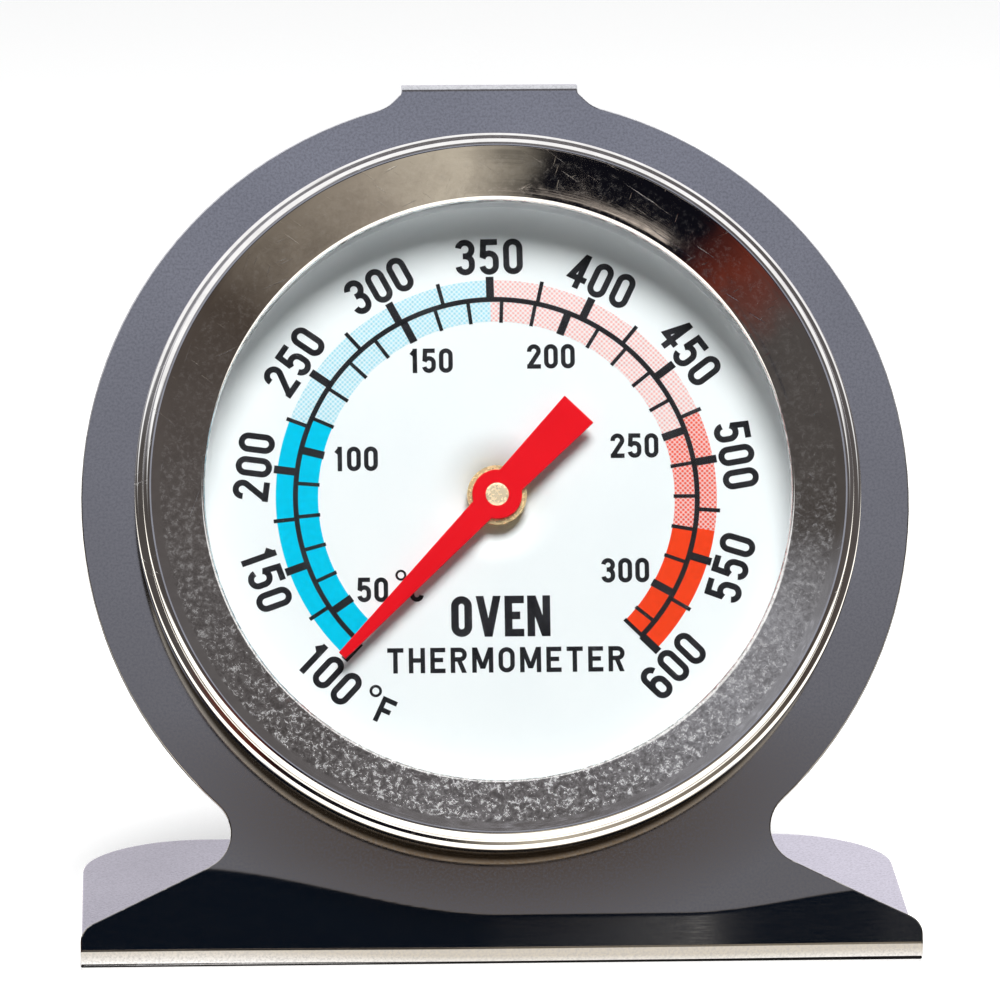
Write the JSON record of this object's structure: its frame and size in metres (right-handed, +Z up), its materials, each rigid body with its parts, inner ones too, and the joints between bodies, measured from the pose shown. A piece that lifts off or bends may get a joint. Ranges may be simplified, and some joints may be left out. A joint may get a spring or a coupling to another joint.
{
  "type": "oven thermometer",
  "caption": "Round bimetal dial thermometer on a leaning bent-sheet stand with a rear rack hook and a red pointer under glass.",
  "frame": {"origin": "centre of the foot's flat underside, on the surface the thermometer stands on", "axes": "+Z up; the dial faces -Y, leaning back; +X is to the right of someone reading the dial"},
  "size_m": [0.0724, 0.0458, 0.0719],
  "materials": {
    "stand_plate": "satin tin-plated sheet",
    "case_cup": "drawn sheet, satin",
    "bezel_ring": "polished stainless",
    "lens_gasket": "thin white fibre",
    "lens_glass": "clear flat glass",
    "spacer_ring": "matt natural",
    "dial_plate": "white enamel, printed scale",
    "dial_bushing": "turned",
    "bushing_washer": "stamped",
    "movement_bracket": "stamped strap",
    "rear_pivot_bush": "turned",
    "coil_anchor_rivet": "plain",
    "bimetal_coil": "heat-tinted bimetal strip",
    "coil_collet": "turned",
    "spindle": "turned, polished end",
    "pointer_washer": "stamped",
    "pointer": "red lacquer"
  },
  "bodies": {
    "stand_and_head": {"stand_plate": "stand_plate", "case_cup": "case_cup", "bezel_ring": "bezel_ring", "lens_gasket": "lens_gasket", "lens_glass": "lens_glass", "spacer_ring": "spacer_ring", "dial_plate": "dial_plate", "dial_bushing": "dial_bushing", "bushing_washer": "bushing_washer", "movement_bracket": "movement_bracket", "rear_pivot_bush": "rear_pivot_bush", "coil_anchor_rivet": "coil_anchor_rivet", "bimetal_coil": "bimetal_coil"},
    "pointer_assembly": {"spindle": "spindle", "coil_collet": "coil_collet", "pointer_washer": "pointer_washer", "pointer": "pointer"}
  },
  "joints": [
    {"name": "pointer_turn", "type": "hinge", "parent": "stand_and_head", "child": "pointer_assembly", "pos_m": [0, -0.00723, 0.03799], "axis": [0, 0.9272, -0.3746], "range_deg": [-12, 272], "stiffness_Nm_per_rad": 0.0002, "deforming": ["bimetal_coil"]}
  ]
}
